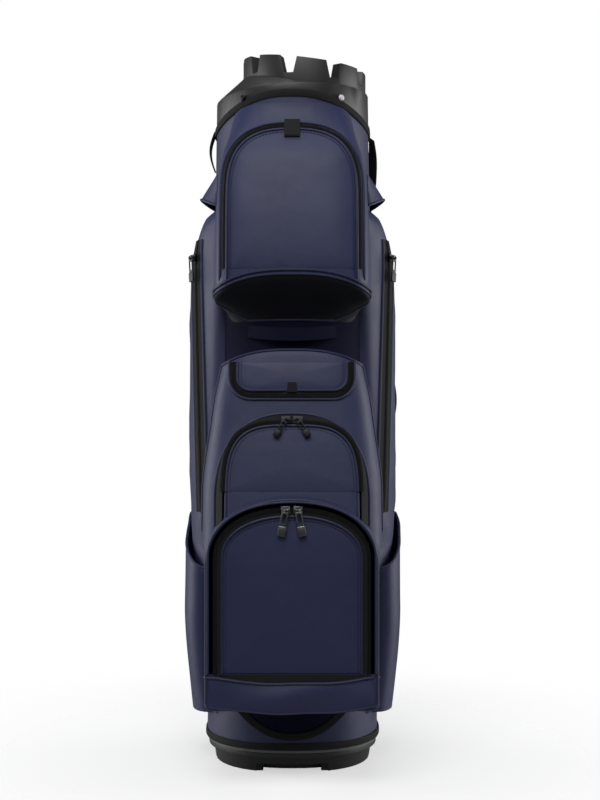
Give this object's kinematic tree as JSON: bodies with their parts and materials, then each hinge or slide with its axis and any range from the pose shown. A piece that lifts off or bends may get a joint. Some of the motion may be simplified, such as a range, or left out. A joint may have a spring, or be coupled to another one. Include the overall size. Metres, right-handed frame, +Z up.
{
  "type": "golf cart bag",
  "caption": "Upright oval golf club bag with a notched organizer top, zipped front and side pockets, open slip pockets, webbing handles and a padded shoulder strap.",
  "frame": {"origin": "middle of the foot, on the floor, under the club tube's axis", "axes": "+Z up along the club tube, -Y towards the front pockets, +X to the bag's left as it faces the viewer, which is the viewer's right"},
  "size_m": [0.2946, 0.3598, 0.9346],
  "materials": {
    "navy_leather": "fine grained, satin",
    "black_mould": "lightly textured moulding",
    "black_webbing": "woven webbing",
    "black_zip": "woven zip tape",
    "dark_metal": "gunmetal plate",
    "bright_metal": "satin",
    "grey_liner": "plain sheet",
    "dark_lining": "brushed nylon",
    "black_foam": "foam under a mesh face"
  },
  "bodies": {
    "bag": {"base_cup": "black_mould", "base_pad": "black_foam", "inner_tube": "grey_liner", "body_skin": "navy_leather", "base_binding": "black_webbing", "collar_binding": "black_webbing", "top_collar": "black_mould", "organizer_crown": "black_mould", "divider_bar_front": "black_mould", "divider_bar_middle": "black_mould", "divider_bar_back": "black_mould", "divider_sheet_front": "dark_lining", "divider_sheet_middle": "dark_lining", "divider_sheet_back": "dark_lining", "stay_rod_left": "bright_metal", "stay_rod_right": "bright_metal", "upper_pocket_shell": "navy_leather", "upper_pocket_zip": "black_zip", "front_apron": "navy_leather", "flap_pocket_zip": "black_zip", "mid_pocket_gusset": "black_zip", "ball_pocket_shell": "navy_leather", "ball_pocket_zip": "black_zip", "ball_pocket_lip": "navy_leather", "side_pocket_left": "navy_leather", "side_pocket_right": "navy_leather", "side_zip_left": "black_zip", "side_zip_right": "black_zip", "slip_pocket_left": "navy_leather", "slip_pocket_right": "navy_leather", "side_hood_left": "navy_leather", "side_hood_right": "navy_leather", "side_grip": "black_webbing", "lift_handle": "black_webbing", "base_grip": "black_webbing", "strap_ring_upper": "bright_metal", "strap_ring_lower": "bright_metal", "snap_stud_left": "bright_metal", "snap_stud_right": "bright_metal"},
    "upper_lid": {"upper_pocket_lid": "navy_leather", "upper_tab": "black_webbing"},
    "flap": {"flap_pocket_flap": "navy_leather", "flap_tab": "black_webbing"},
    "mid_lid": {"mid_pocket_lid": "navy_leather"},
    "ball_lid": {"ball_pocket_lid": "navy_leather"},
    "mid_zip_left": {"mid_slider_left": "dark_metal"},
    "mid_zip_right": {"mid_slider_right": "dark_metal"},
    "mid_tag_left": {"mid_pull_left": "dark_metal"},
    "mid_tag_right": {"mid_pull_right": "dark_metal"},
    "ball_zip_left": {"ball_slider_left": "dark_metal"},
    "ball_zip_right": {"ball_slider_right": "dark_metal"},
    "ball_tag_left": {"ball_pull_left": "dark_metal"},
    "ball_tag_right": {"ball_pull_right": "dark_metal"},
    "long_zip_left": {"side_slider_left": "dark_metal"},
    "long_zip_right": {"side_slider_right": "dark_metal"},
    "long_tag_left": {"side_pull_left": "dark_metal"},
    "long_tag_right": {"side_pull_right": "dark_metal"},
    "strap": {"shoulder_strap": "black_webbing", "strap_pad": "black_foam"}
  },
  "joints": [
    {"name": "upper_lid_hinge", "type": "hinge", "parent": "bag", "child": "upper_lid", "pos_m": [0, -0.18178, 0.64], "axis": [1, 0, 0], "range_deg": [0, 80]},
    {"name": "flap_hinge", "type": "hinge", "parent": "bag", "child": "flap", "pos_m": [0, -0.14917, 0.525], "axis": [-1, 0, 0], "range_deg": [0, 100]},
    {"name": "mid_lid_hinge", "type": "hinge", "parent": "bag", "child": "mid_lid", "pos_m": [0, -0.19417, 0.364], "axis": [1, 0, 0], "range_deg": [0, 75]},
    {"name": "ball_lid_hinge", "type": "hinge", "parent": "bag", "child": "ball_lid", "pos_m": [0, -0.213, 0.143], "axis": [1, 0, 0], "range_deg": [0, 80]},
    {"name": "mid_zip_left_travel", "type": "hinge", "parent": "mid_lid", "child": "mid_zip_left", "pos_m": [0, -0.21071, 0.27525], "axis": [0, -0.9831, 0.1832], "range_deg": [0, 9]},
    {"name": "mid_zip_right_travel", "type": "hinge", "parent": "mid_lid", "child": "mid_zip_right", "pos_m": [0, -0.21071, 0.27525], "axis": [0, 0.9831, -0.1832], "range_deg": [0, 9]},
    {"name": "mid_tag_left_swing", "type": "hinge", "parent": "mid_zip_left", "child": "mid_tag_left", "pos_m": [-0.0075, -0.18415, 0.45323], "axis": [-0.9991, -0.0078, -0.0417], "range_deg": [0, 110]},
    {"name": "mid_tag_right_swing", "type": "hinge", "parent": "mid_zip_right", "child": "mid_tag_right", "pos_m": [0.0075, -0.18415, 0.45323], "axis": [-0.9991, 0.0078, 0.0417], "range_deg": [0, 110]},
    {"name": "ball_zip_left_travel", "type": "hinge", "parent": "ball_lid", "child": "ball_zip_left", "pos_m": [0, -0.213, 0.1935], "axis": [0, -1, 0], "range_deg": [0, 18]},
    {"name": "ball_zip_right_travel", "type": "hinge", "parent": "ball_lid", "child": "ball_zip_right", "pos_m": [0, -0.213, 0.1935], "axis": [0, 1, 0], "range_deg": [0, 18]},
    {"name": "ball_tag_left_swing", "type": "hinge", "parent": "ball_zip_left", "child": "ball_tag_left", "pos_m": [-0.0075, -0.2195, 0.34331], "axis": [-0.9988, 0, -0.05], "range_deg": [0, 110]},
    {"name": "ball_tag_right_swing", "type": "hinge", "parent": "ball_zip_right", "child": "ball_tag_right", "pos_m": [0.0075, -0.2195, 0.34331], "axis": [-0.9988, 0, 0.05], "range_deg": [0, 110]},
    {"name": "long_zip_left_travel", "type": "slide", "parent": "bag", "child": "long_zip_left", "axis": [0.0295, -0.1033, -0.9942], "range_m": [0, 0.3]},
    {"name": "long_zip_right_travel", "type": "slide", "parent": "bag", "child": "long_zip_right", "axis": [-0.0295, -0.1033, -0.9942], "range_m": [0, 0.3]},
    {"name": "long_tag_left_swing", "type": "hinge", "parent": "long_zip_left", "child": "long_tag_left", "pos_m": [-0.13499, -0.04271, 0.666], "axis": [-0.6126, 0.7841, -0.0996], "range_deg": [0, 110]},
    {"name": "long_tag_right_swing", "type": "hinge", "parent": "long_zip_right", "child": "long_tag_right", "pos_m": [0.13499, -0.04271, 0.666], "axis": [-0.6126, -0.7841, 0.0996], "range_deg": [0, 110]},
    {"name": "shoulder_strap_swing", "type": "hinge", "parent": "bag", "child": "strap", "pos_m": [0.108, 0.048, 0.838], "axis": [0.0541, 0.1081, -0.9927], "range_deg": [-8, 10]}
  ]
}
